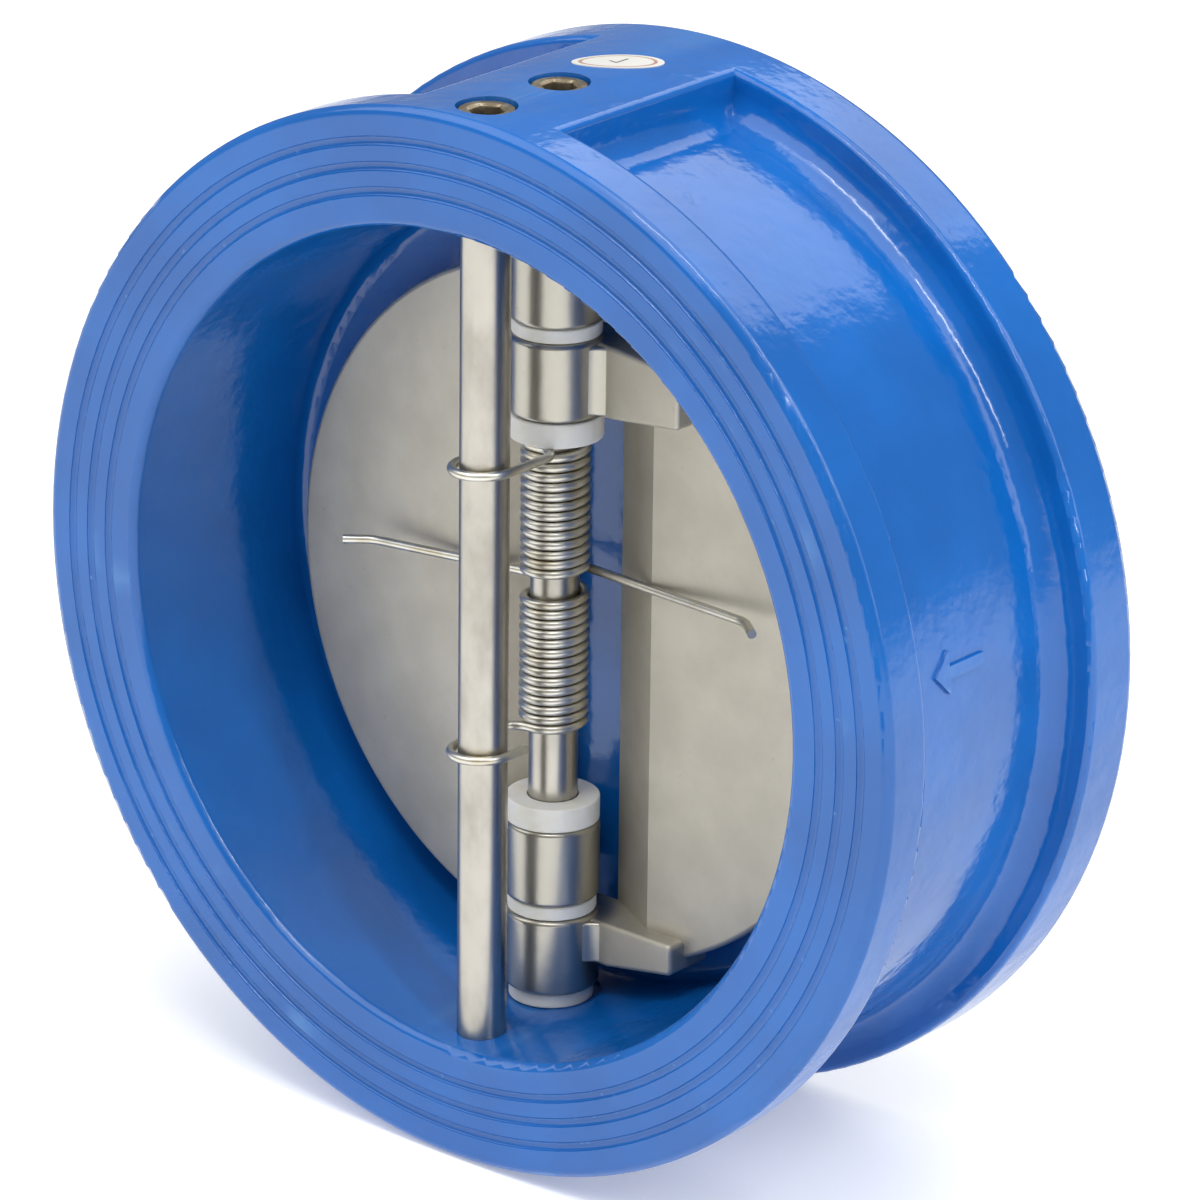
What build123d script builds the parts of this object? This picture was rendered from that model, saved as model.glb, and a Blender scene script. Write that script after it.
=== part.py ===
"""Dual-plate wafer check valve, nominal size 100, modelled as its separate pieces.

Frame: origin at the centre of the body on the flow axis. +Y runs against the flow, from the outlet
face at -Y to the inlet face at +Y. +Z runs along the two pins, towards their screwed plugs. Both
plates are closed. All sizes are in millimetres.
"""

from build123d import *
from math import atan2, cos, degrees, pi, radians, sin, sqrt
import os

# ---------------------------------------------------------------- driving dimensions

# Body casting
outer_diameter = 174.6  # inside the bolts of a class 150 flange
face_to_face = 62.0
outlet_flange_width = 9.5
inlet_flange_width = 11.0
barrel_radius = 79.7
pocket_root_radius = 4.5
pocket_rim_radius = 1.2
pad_half_width = 14.2
face_edge_radius = 1.6
outlet_bore_radius = 68.3
chamber_radius = 66.0  # end of the outlet chamber's draft, next to the seat web
chamber_root_radius = 2.0
web_y = 7.5  # front of the web that carries the seat
inlet_bore_radius = 50.0  # nominal bore
inlet_mouth_radius = 54.0
bar_half_width = 10.0
bar_nose_half_width = 5.0
bar_depth = 18.0
groove_radii = (73.8, 77.8, 81.8)
groove_half_width = 0.8
groove_depth = 0.5
bore_edge_radius = 1.2
arrow_y = -4.0  # middle of the cast flow arrow on the barrel
arrow_z = 10.0
arrow_length = 12.0
arrow_width = 7.0
arrow_shaft_width = 2.0
arrow_height = 0.6

# Pins
hinge_pin_y = -5.5
stop_pin_y = -22.7
pin_radius = 4.0
pin_top_z = 77.5
pin_bottom_z = -74.5
pin_chamfer = 0.6

# Screwed plugs, 1/8 inch pipe size
plug_radius = 4.86
plug_length = 8.5
plug_recess = 0.6
socket_across_flats = 5.0
socket_depth = 4.0
plug_chamfer = 0.5

# Plates
plate_radius = 58.4
plate_drop = 2.2  # the plates hang this far below the flow axis
plate_back_y = 7.0
heel_x = 6.0
heel_face_y = 4.0
bevel_top_x = 17.0
plate_face_y = -1.9
rim_face_y = -0.3
plate_edge_radius = 0.8
lug_radius = 7.7
lug_length = 13.0
lug_edge_radius = 0.8
arm_face_y = -5.1
arm_root_radius = 4.0
arm_edge_radius = 0.8
arm_corner_radius = 1.0
root_inset = 0.3  # the hollow between lug and arm stays this far inside the arm's height
root_edge_radius = 0.5
root_dip = 0.2  # the hollow dips this far into the arm's face
root_bite = 0.2  # and its end lies this far inside the lug
arm_inset = 0.5  # from a lug's end to its arm, next to the lug
arm_end_inset = 1.8  # the same at the arm's free end
outer_arm_inset = 5.0  # on the side towards the bore wall, for the two outer lugs
outer_arm_end_inset = 7.2
right_arm_reach = 24.5
left_arm_reach = 17.8
lug_pitch = 98.0  # between the two lugs of one plate

# Bearing washers on the hinge pin
end_washer_radius = 6.9
end_washer_thickness = 2.3
lug_washer_radius = 7.2
lug_washer_thickness = 2.3
spring_washer_radius = 7.6
spring_washer_thickness = 4.0
spot_face_z = 66.9
spot_face_radius = 8.2
top_end_play = 0.2
washer_edge_radius = 0.3

# Torsion springs
wire_radius = 0.75
coil_radius = 4.95
coil_turns = 13
coil_bottom_z = -19.25  # middle of the wire where the lower coil starts
coil_pitch = 1.635
spring_mirror_z = 4.6  # the springs are one part, turned end for end about this height
leg_slope_degrees = 7.0
leg_reach = 35.5
leg_fall = 0.03  # drop of the lower spring's leg for each millimetre of its reach
leg_settle_length = 4.0
leg_tip_x = 5.2
leg_tip_y = 3.3
hook_radius = 5.2
hook_end_length = 4.0
hook_bend_radius = 4.0
leg_bend_radius = 2.5

# Seat seals
seal_outer_radius = 54.5
seal_inner_radius = 51.2
seal_outer_x = 6.6
seal_inner_x = 9.4
seal_depth = 2.0

# Label
label_length = 14.6
label_width = 7.2
label_thickness = 0.12
label_y = 8.6
label_angle = 41.0

# Clearances
pin_clearance = 0.05
lug_clearance = 0.08
washer_clearance = 0.2
plug_clearance = 0.03
seat_gap = 0.05
lug_gap = 0.1

# ---------------------------------------------------------------- derived dimensions

outer_radius = outer_diameter / 2
outlet_y = -face_to_face / 2
inlet_y = face_to_face / 2
pocket_front_y = outlet_y + outlet_flange_width
pocket_back_y = inlet_y - inlet_flange_width
pin_hole_radius = pin_radius + pin_clearance
lug_hole_radius = pin_radius + lug_clearance
plug_hole_radius = plug_radius + plug_clearance
plug_top_z = outer_radius - plug_recess
plug_bottom_z = plug_top_z - plug_length

# Levels of the stack on the hinge pin, from the bottom spot face up
bottom_lug_z = -spot_face_z + end_washer_thickness + lug_gap
lower_washer_z = bottom_lug_z + lug_length + lug_gap
lower_lug_z = lower_washer_z + lug_washer_thickness + lug_gap
lower_spring_washer_z = lower_lug_z + lug_length + lug_gap
inner_lug_z = bottom_lug_z + lug_pitch
upper_spring_washer_z = inner_lug_z - lug_gap - spring_washer_thickness
upper_washer_z = inner_lug_z + lug_length + lug_gap
outer_lug_z = lower_lug_z + lug_pitch
top_washer_z = outer_lug_z + lug_length + top_end_play

# Hollow of arm_root_radius between each lug and the face of its arm
root_centre_y = arm_face_y - arm_root_radius + root_dip
root_drop = hinge_pin_y - root_centre_y
root_centre_x = sqrt((lug_radius + arm_root_radius) ** 2 - root_drop**2) - root_bite
root_sweep = 90 - degrees(atan2(root_drop, root_centre_x))

os.makedirs("parts", exist_ok=True)


def finish(part, name):
    """Labels a finished piece and writes it to its own file."""
    part.label = name
    export_step(part, "parts/" + name + ".step")


# ---------------------------------------------------------------- valve body

with BuildPart() as valve_body:
    # Turned outline of flanges, barrel, outlet chamber, web and inlet bore, on one side of the axis
    with BuildSketch(Plane.XY) as body_section:
        with BuildLine():
            Polyline(
                (outlet_bore_radius, outlet_y),
                (outer_radius, outlet_y),
                (outer_radius, inlet_y),
                (inlet_mouth_radius, inlet_y),
                (inlet_bore_radius, web_y),
                (chamber_radius, web_y),
                close=True,
            )
        make_face()
    revolve(axis=Axis.Y)
    chamber_root = valve_body.edges().filter_by(GeomType.CIRCLE).filter_by(
        lambda edge: abs(edge.radius - chamber_radius) < 0.01
    )
    fillet(chamber_root, chamber_root_radius)

    # Pockets between the flanges, one on each side of the pads that carry the pins
    with BuildSketch(Plane.XZ.offset(-pocket_back_y)):
        Circle(outer_radius + 5)
        Circle(barrel_radius, mode=Mode.SUBTRACT)
        Rectangle(2 * pad_half_width, 3 * outer_radius, mode=Mode.SUBTRACT)
    extrude(amount=pocket_back_y - pocket_front_y, mode=Mode.SUBTRACT)
    pocket_floor = valve_body.faces().filter_by(GeomType.CYLINDER).filter_by(
        lambda face: abs(face.radius - barrel_radius) < 0.01
    )
    fillet(pocket_floor.edges(), pocket_root_radius)
    rim_edges = valve_body.edges().filter_by(
        lambda edge: abs(edge.center().Y) < inlet_y - 1
        and (edge @ 0.5).X ** 2 + (edge @ 0.5).Z ** 2 > (outer_radius - 0.05) ** 2
        and edge.length > 20
    )
    fillet(rim_edges, pocket_rim_radius)

    # Edges of the sealing faces
    face_rims = valve_body.edges().filter_by(GeomType.CIRCLE).filter_by(
        lambda edge: abs(edge.radius - outer_radius) < 0.01 and abs(abs(edge.center().Y) - inlet_y) < 0.01
    )
    fillet(face_rims, face_edge_radius)
    bore_rims = valve_body.edges().filter_by(GeomType.CIRCLE).filter_by(
        lambda edge: edge.radius < outlet_bore_radius + 0.01 and abs(abs(edge.center().Y) - inlet_y) < 0.01
    )
    fillet(bore_rims, bore_edge_radius)

    # Concentric grooves that grip the gasket
    with BuildSketch(Plane.XY):
        for groove_radius in groove_radii:
            for side in (-1, 1):
                with Locations((groove_radius, side * inlet_y)):
                    Ellipse(groove_half_width, groove_depth)
    revolve(axis=Axis.Y, mode=Mode.SUBTRACT)

    # Cross bar between the two half seats
    with BuildSketch(Plane.XY) as bar_section:
        with BuildLine():
            Polyline(
                (-bar_half_width, web_y),
                (-bar_nose_half_width, web_y + bar_depth),
                (bar_nose_half_width, web_y + bar_depth),
                (bar_half_width, web_y),
                close=True,
            )
        make_face()
        nose_corners = bar_section.vertices().group_by(Axis.Y)[-1]
        fillet(nose_corners, bar_nose_half_width - 1)
    extrude(amount=inlet_bore_radius + 1, both=True)

    # Grooves for the seat seals
    for side in (-1, 1):
        with BuildSketch(Plane.XZ.offset(-web_y)):
            Circle(seal_outer_radius)
            with Locations((side * (seal_outer_x - outer_radius), 0)):
                Rectangle(2 * outer_radius, 2 * outer_radius, mode=Mode.SUBTRACT)
            Circle(seal_inner_radius, mode=Mode.SUBTRACT)
        extrude(amount=-seal_depth, mode=Mode.SUBTRACT)
        with BuildSketch(Plane.XZ.offset(-web_y)):
            with Locations((side * (seal_outer_x + seal_inner_x) / 2, 0)):
                Rectangle(seal_inner_x - seal_outer_x, 2 * seal_outer_radius)
            Circle(seal_outer_radius, mode=Mode.INTERSECT)
        extrude(amount=-seal_depth, mode=Mode.SUBTRACT)

    # Spot faces for the hinge pin's end washers
    for side in (-1, 1):
        with BuildSketch(Plane.XY.offset(side * spot_face_z)):
            with Locations((0, hinge_pin_y)):
                Circle(spot_face_radius)
        extrude(amount=-side * spot_face_radius, mode=Mode.SUBTRACT)

    # Pin holes, blind at the bottom, and the tapped holes of their plugs
    for pin_y in (hinge_pin_y, stop_pin_y):
        with BuildSketch(Plane.XY.offset(pin_bottom_z - 0.5)):
            with Locations((0, pin_y)):
                Circle(pin_hole_radius)
        extrude(amount=outer_radius - pin_bottom_z + 0.5, mode=Mode.SUBTRACT)
        with BuildSketch(Plane.XY.offset(plug_bottom_z)):
            with Locations((0, pin_y)):
                Circle(plug_hole_radius)
        extrude(amount=outer_radius, mode=Mode.SUBTRACT)

    # Cast arrow on the barrel that shows the way of the flow
    with BuildPart(mode=Mode.PRIVATE) as flow_arrow:
        with BuildSketch(Plane.YZ):
            with BuildLine():
                Polyline(
                    (arrow_y - arrow_length / 2, arrow_z),
                    (arrow_y - arrow_length / 2 + arrow_width / 2, arrow_z + arrow_width / 2),
                    (arrow_y - arrow_length / 2 + arrow_width / 2, arrow_z + arrow_shaft_width / 2),
                    (arrow_y + arrow_length / 2, arrow_z + arrow_shaft_width / 2),
                    (arrow_y + arrow_length / 2, arrow_z - arrow_shaft_width / 2),
                    (arrow_y - arrow_length / 2 + arrow_width / 2, arrow_z - arrow_shaft_width / 2),
                    (arrow_y - arrow_length / 2 + arrow_width / 2, arrow_z - arrow_width / 2),
                    close=True,
                )
            make_face()
        extrude(amount=outer_radius)
        with BuildSketch(Plane.XZ.offset(-inlet_y)):
            Circle(barrel_radius + arrow_height)
            Circle(barrel_radius - 1, mode=Mode.SUBTRACT)
        extrude(amount=face_to_face, mode=Mode.INTERSECT)
    add(flow_arrow.part)

finish(valve_body.part, "valve_body")

# ---------------------------------------------------------------- seat seals


for name, side in (("left_seat_seal", -1), ("right_seat_seal", 1)):
    with BuildPart() as seat_seal:
        with BuildSketch(Plane.XZ.offset(-plate_back_y - seat_gap)):
            Circle(seal_outer_radius)
            with Locations((side * (seal_outer_x - outer_radius), 0)):
                Rectangle(2 * outer_radius, 2 * outer_radius, mode=Mode.SUBTRACT)
        extrude(amount=plate_back_y + seat_gap - web_y - seal_depth)
        with BuildSketch(Plane.XZ.offset(-plate_back_y)):
            Circle(seal_inner_radius)
            with Locations((side * (seal_inner_x - outer_radius), 0)):
                Rectangle(2 * outer_radius, 2 * outer_radius, mode=Mode.SUBTRACT)
        extrude(amount=-outer_radius, mode=Mode.SUBTRACT)
    finish(seat_seal.part, name)

# ---------------------------------------------------------------- plates


def lug_with_arm(reach, lug_z, insets):
    """Builds one lug with the arm that joins it to the plate on its +X side.

    reach is how far the arm runs from the hinge axis, lug_z is the lug's lower end, and insets says
    how far the arm stays from the lug's lower and upper end, first near the lug and then at the
    arm's free end.
    """
    low, high, end_low, end_high = insets
    lug_top = lug_z + lug_length
    with BuildPart() as arm:
        with BuildSketch(Plane.XZ.offset(-heel_face_y)) as elevation:
            with BuildLine():
                Polyline(
                    (0, lug_z + low),
                    (root_centre_x, lug_z + low),
                    (reach, lug_z + end_low),
                    (reach, lug_top - end_high),
                    (root_centre_x, lug_top - high),
                    (0, lug_top - high),
                    close=True,
                )
            make_face()
            free_end = elevation.vertices().filter_by(lambda vertex: vertex.X > reach - 0.01)
            fillet(free_end, arm_corner_radius)
        extrude(amount=heel_face_y - arm_face_y)
        arm_front = arm.faces().sort_by(Axis.Y)[0]
        fillet(arm_front.edges().filter_by(lambda edge: edge.center().X > 0.01), arm_edge_radius)

    # Hollow that leads from the lug into the arm's face
    with BuildPart() as root:
        with BuildSketch(Plane.XY.offset(lug_z + low + root_inset)):
            with BuildLine():
                hollow = CenterArc(
                    (root_centre_x, root_centre_y), arm_root_radius, 90, root_sweep
                )
                Polyline(
                    hollow @ 1,
                    (lug_radius / 2, (hollow @ 1).Y),
                    (lug_radius / 2, arm_face_y + arm_root_radius),
                    (root_centre_x, arm_face_y + arm_root_radius),
                    hollow @ 0,
                )
            make_face()
        extrude(amount=lug_length - low - high - 2 * root_inset)
        hollow_edges = root.edges().filter_by(
            lambda edge: edge.geom_type == GeomType.CIRCLE and abs(edge.radius - arm_root_radius) < 0.01
        )
        fillet(hollow_edges, root_edge_radius)
    with BuildPart() as lug:
        with BuildSketch(Plane.XY.offset(lug_z)):
            with Locations((0, hinge_pin_y)):
                Circle(lug_radius)
        extrude(amount=lug_length)
        fillet(lug.edges().filter_by(GeomType.CIRCLE), lug_edge_radius)
        add(arm.part)
        add(root.part)
    return lug.part


def plate_with_lugs(reach, lugs):
    """Builds one plate on the +X side of the cross bar. lugs holds each lug's lower end and insets."""
    with BuildPart() as plate:
        with BuildSketch(Plane.XY.offset(-outer_radius)):
            with BuildLine():
                Polyline(
                    (heel_x, plate_back_y),
                    (heel_x, heel_face_y),
                    (bevel_top_x, plate_face_y),
                    (plate_radius, rim_face_y),
                    (plate_radius, plate_back_y),
                    close=True,
                )
            make_face()
        extrude(amount=2 * outer_radius)
        with BuildSketch(Plane.XZ.offset(-plate_back_y)):
            with Locations((0, -plate_drop)):
                Circle(plate_radius)
        extrude(amount=outer_radius, both=True, mode=Mode.INTERSECT)
        front_rim = plate.edges().filter_by(
            lambda edge: edge.center().X > bevel_top_x
            and edge.center().Y < plate_back_y - 1
            and edge.length > plate_radius
        ).sort_by(Axis.Y)[0]
        fillet(front_rim, plate_edge_radius)
        for lug_z, insets in lugs:
            add(lug_with_arm(reach, lug_z, insets))
        for lug_z, insets in lugs:
            with BuildSketch(Plane.XY.offset(lug_z)):
                with Locations((0, hinge_pin_y)):
                    Circle(lug_hole_radius)
            extrude(amount=lug_length, mode=Mode.SUBTRACT)
    return plate.part


inner_insets = (arm_inset, arm_inset, arm_end_inset, arm_end_inset)
bottom_insets = (outer_arm_inset, arm_inset, outer_arm_end_inset, arm_inset)
top_insets = (arm_inset, outer_arm_inset, arm_inset, outer_arm_end_inset)
right_lugs = ((inner_lug_z, inner_insets), (bottom_lug_z, bottom_insets))
left_lugs = ((lower_lug_z, inner_insets), (outer_lug_z, top_insets))
with BuildPart() as right_plate:
    add(plate_with_lugs(right_arm_reach, right_lugs))
finish(right_plate.part, "right_plate")
with BuildPart() as left_plate:
    mirror(plate_with_lugs(left_arm_reach, left_lugs), about=Plane.YZ)
finish(left_plate.part, "left_plate")

# ---------------------------------------------------------------- pins

for name, pin_y in (("hinge_pin", hinge_pin_y), ("stop_pin", stop_pin_y)):
    with BuildPart() as pin:
        with BuildSketch(Plane.XY.offset(pin_bottom_z)):
            with Locations((0, pin_y)):
                Circle(pin_radius)
        extrude(amount=pin_top_z - pin_bottom_z)
        chamfer(pin.edges().filter_by(GeomType.CIRCLE), pin_chamfer)
    finish(pin.part, name)

# ---------------------------------------------------------------- bearing washers

washers = (
    ("bottom_end_washer", -spot_face_z, end_washer_radius, end_washer_thickness),
    ("lower_lug_washer", lower_washer_z, lug_washer_radius, lug_washer_thickness),
    ("lower_spring_washer", lower_spring_washer_z, spring_washer_radius, spring_washer_thickness),
    ("upper_spring_washer", upper_spring_washer_z, spring_washer_radius, spring_washer_thickness),
    ("upper_lug_washer", upper_washer_z, lug_washer_radius, lug_washer_thickness),
    ("top_end_washer", top_washer_z, end_washer_radius, end_washer_thickness),
)
for name, level, radius, thickness in washers:
    with BuildPart() as washer:
        with BuildSketch(Plane.XY.offset(level)):
            with Locations((0, hinge_pin_y)):
                Circle(radius)
                Circle(pin_radius + washer_clearance, mode=Mode.SUBTRACT)
        extrude(amount=thickness)
        outer_rims = washer.edges().filter_by(GeomType.CIRCLE).filter_by(
            lambda edge: abs(edge.radius - radius) < 0.01
        )
        fillet(outer_rims, washer_edge_radius)
    finish(washer.part, name)

# ---------------------------------------------------------------- torsion springs

coil_turn_angle = coil_turns * 360 + 180 + leg_slope_degrees
coil_height = coil_turn_angle / 360 * coil_pitch
coil_climb = coil_pitch / (2 * pi * coil_radius)
leg_angle = radians(leg_slope_degrees)

# Lower spring: a hook round the stop pin, the coil on the hinge pin and a leg on the left plate
with BuildPart() as lower_spring:
    coil_start = Vector(0, hinge_pin_y - coil_radius, coil_bottom_z)
    hook_plane = Plane(origin=coil_start, x_dir=(1, 0, coil_climb), z_dir=(-coil_climb, 0, 1))
    stop_offset = stop_pin_y - coil_start.Y
    with BuildLine(hook_plane) as hook:
        tail = Line((hook_radius, stop_offset + hook_end_length), (hook_radius, stop_offset))
        RadiusArc(tail @ 1, (-hook_radius, stop_offset), hook_radius)
        side = Line((-hook_radius, stop_offset), (-hook_radius, -hook_bend_radius))
        bend = RadiusArc(side @ 1, (hook_bend_radius - hook_radius, 0), hook_bend_radius)
        Line(bend @ 1, (0, 0))
    with BuildLine() as coil:
        Helix(coil_pitch, coil_height, coil_radius, center=(0, hinge_pin_y, coil_bottom_z))
    coil_end = Vector(
        -coil_radius * sin(leg_angle),
        hinge_pin_y + coil_radius * cos(leg_angle),
        coil_bottom_z + coil_height,
    )
    leg_direction = Vector(-cos(leg_angle), -sin(leg_angle), -leg_fall)
    coil_end_direction = Vector(-cos(leg_angle), -sin(leg_angle), coil_climb)
    leg_start = coil_end + (leg_direction + coil_end_direction) * (leg_settle_length / 2)
    with BuildLine() as settle:
        Spline(coil_end, leg_start, tangents=(coil_end_direction, leg_direction))
    leg_normal = Vector(-leg_fall * cos(leg_angle), -leg_fall * sin(leg_angle), 1)
    with BuildLine(Plane(origin=leg_start, x_dir=leg_direction, z_dir=leg_normal)) as leg:
        FilletPolyline((0, 0), (leg_reach, 0), (leg_reach + leg_tip_x, leg_tip_y), radius=leg_bend_radius)
    with BuildLine() as wire:
        add(hook.line)
        add(coil.line.rotate(Axis((0, hinge_pin_y, 0), (0, 0, 1)), -90))
        add(settle.line)
        add(leg.line)
    with BuildSketch(Plane(origin=hook.line @ 0, z_dir=(0, -1, 0))):
        Circle(wire_radius)
    sweep(path=wire.wire())
finish(lower_spring.part, "lower_spring")

# The upper spring is the same part turned end for end, with its leg on the right plate
with BuildPart() as upper_spring:
    add(lower_spring.part.rotate(Axis((0, 0, spring_mirror_z), (0, 1, 0)), 180))
finish(upper_spring.part, "upper_spring")

# ---------------------------------------------------------------- plugs

for name, pin_y in (("hinge_pin_plug", hinge_pin_y), ("stop_pin_plug", stop_pin_y)):
    with BuildPart() as plug:
        with BuildSketch(Plane.XY.offset(plug_bottom_z)):
            with Locations((0, pin_y)):
                Circle(plug_radius)
        extrude(amount=plug_length)
        chamfer(plug.edges().filter_by(GeomType.CIRCLE), plug_chamfer)
        with BuildSketch(Plane.XY.offset(plug_top_z - socket_depth)):
            with Locations((0, pin_y)):
                RegularPolygon(socket_across_flats / 2, 6, major_radius=False)
        extrude(amount=socket_depth, mode=Mode.SUBTRACT)
    finish(plug.part, name)

# ---------------------------------------------------------------- label

with BuildPart() as inspection_label:
    with BuildSketch(Plane.XY.offset(barrel_radius)):
        with Locations(Location((0, label_y), label_angle)):
            Ellipse(label_length / 2, label_width / 2)
    extrude(amount=2 * pad_half_width)
    with BuildSketch(Plane.XZ.offset(outlet_y)):
        Circle(outer_radius + label_thickness)
        Circle(outer_radius, mode=Mode.SUBTRACT)
    extrude(amount=face_to_face, mode=Mode.INTERSECT)
finish(inspection_label.part, "inspection_label")
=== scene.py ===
"""Visual model of a dual-plate wafer check valve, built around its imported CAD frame.

Everything is in metres in the row frame: +Y runs from the outlet face to the inlet face, +Z runs
along the hinge pin and the stop pin towards their screwed plugs.
"""

from __future__ import annotations

import logging
import math
from dataclasses import dataclass, field
from enum import Enum
from typing import Any, Iterable, Sequence

import bmesh
import bpy
from mathutils import Matrix, Vector

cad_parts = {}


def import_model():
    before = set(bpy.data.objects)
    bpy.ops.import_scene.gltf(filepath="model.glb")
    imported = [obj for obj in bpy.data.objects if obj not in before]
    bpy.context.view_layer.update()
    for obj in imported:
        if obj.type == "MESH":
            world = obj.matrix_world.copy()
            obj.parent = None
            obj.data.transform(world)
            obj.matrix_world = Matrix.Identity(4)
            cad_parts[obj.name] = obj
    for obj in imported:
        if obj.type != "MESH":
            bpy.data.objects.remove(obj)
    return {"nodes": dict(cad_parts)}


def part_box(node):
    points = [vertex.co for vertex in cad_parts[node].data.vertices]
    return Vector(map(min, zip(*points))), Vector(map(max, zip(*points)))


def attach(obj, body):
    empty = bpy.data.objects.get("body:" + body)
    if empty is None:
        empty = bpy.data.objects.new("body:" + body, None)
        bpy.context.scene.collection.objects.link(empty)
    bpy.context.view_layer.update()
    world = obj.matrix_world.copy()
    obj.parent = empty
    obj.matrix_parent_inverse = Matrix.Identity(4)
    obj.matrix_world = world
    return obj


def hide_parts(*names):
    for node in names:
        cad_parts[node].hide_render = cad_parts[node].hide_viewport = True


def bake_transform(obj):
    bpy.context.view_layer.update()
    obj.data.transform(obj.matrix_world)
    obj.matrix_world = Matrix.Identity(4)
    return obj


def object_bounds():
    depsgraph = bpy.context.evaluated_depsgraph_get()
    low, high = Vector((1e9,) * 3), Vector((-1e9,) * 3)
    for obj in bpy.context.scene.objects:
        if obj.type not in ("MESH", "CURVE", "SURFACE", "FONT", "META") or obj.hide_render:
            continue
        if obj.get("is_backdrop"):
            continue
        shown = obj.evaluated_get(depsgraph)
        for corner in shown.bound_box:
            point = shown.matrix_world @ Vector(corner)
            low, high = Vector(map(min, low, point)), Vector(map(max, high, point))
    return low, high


log = logging.getLogger("wafer_check_valve")
MM = 0.001
Colour = tuple[float, float, float]


# ---------------------------------------------------------------- shader graphs


class Value:
    """A number socket in a shader graph, with Python operators that add Math nodes."""

    def __init__(self, graph: "ShaderGraph", socket: bpy.types.NodeSocket) -> None:
        """Wraps one output socket of a graph."""
        self.graph = graph
        self.socket = socket

    def _math(self, operation: str, *operands: Any) -> "Value":
        """Adds a Math node.

        Args:
            operation: The node's operation.
            operands: Its inputs in order, as numbers or Values.

        Returns:
            The node's result.
        """
        node = self.graph.node(
            "ShaderNodeMath", {"operation": operation}, dict(enumerate(operands))
        )
        return Value(self.graph, node.outputs[0])

    def __add__(self, other: Any) -> "Value":
        """self + other."""
        return self._math("ADD", self, other)

    def __sub__(self, other: Any) -> "Value":
        """self - other."""
        return self._math("SUBTRACT", self, other)

    def __rsub__(self, other: Any) -> "Value":
        """other - self."""
        return self._math("SUBTRACT", other, self)

    def __mul__(self, other: Any) -> "Value":
        """self * other."""
        return self._math("MULTIPLY", self, other)

    def __truediv__(self, other: Any) -> "Value":
        """self / other."""
        return self._math("DIVIDE", self, other)

    def __pow__(self, other: Any) -> "Value":
        """self ** other."""
        return self._math("POWER", self, other)

    def least(self, other: Any) -> "Value":
        """The smaller of self and other."""
        return self._math("MINIMUM", self, other)

    def most(self, other: Any) -> "Value":
        """The larger of self and other."""
        return self._math("MAXIMUM", self, other)

    def root(self) -> "Value":
        """The square root of self."""
        return self._math("SQRT", self)

    def sine(self) -> "Value":
        """The sine of self, in radians."""
        return self._math("SINE", self)

    def step(self, start: float, end: float) -> "Value":
        """Rises smoothly from 0 where self is start to 1 where it is end."""
        node = self.graph.node(
            "ShaderNodeMapRange",
            {"interpolation_type": "SMOOTHSTEP", "clamp": True},
            {"Value": self, "From Min": start, "From Max": end},
        )
        return Value(self.graph, node.outputs[0])


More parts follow.
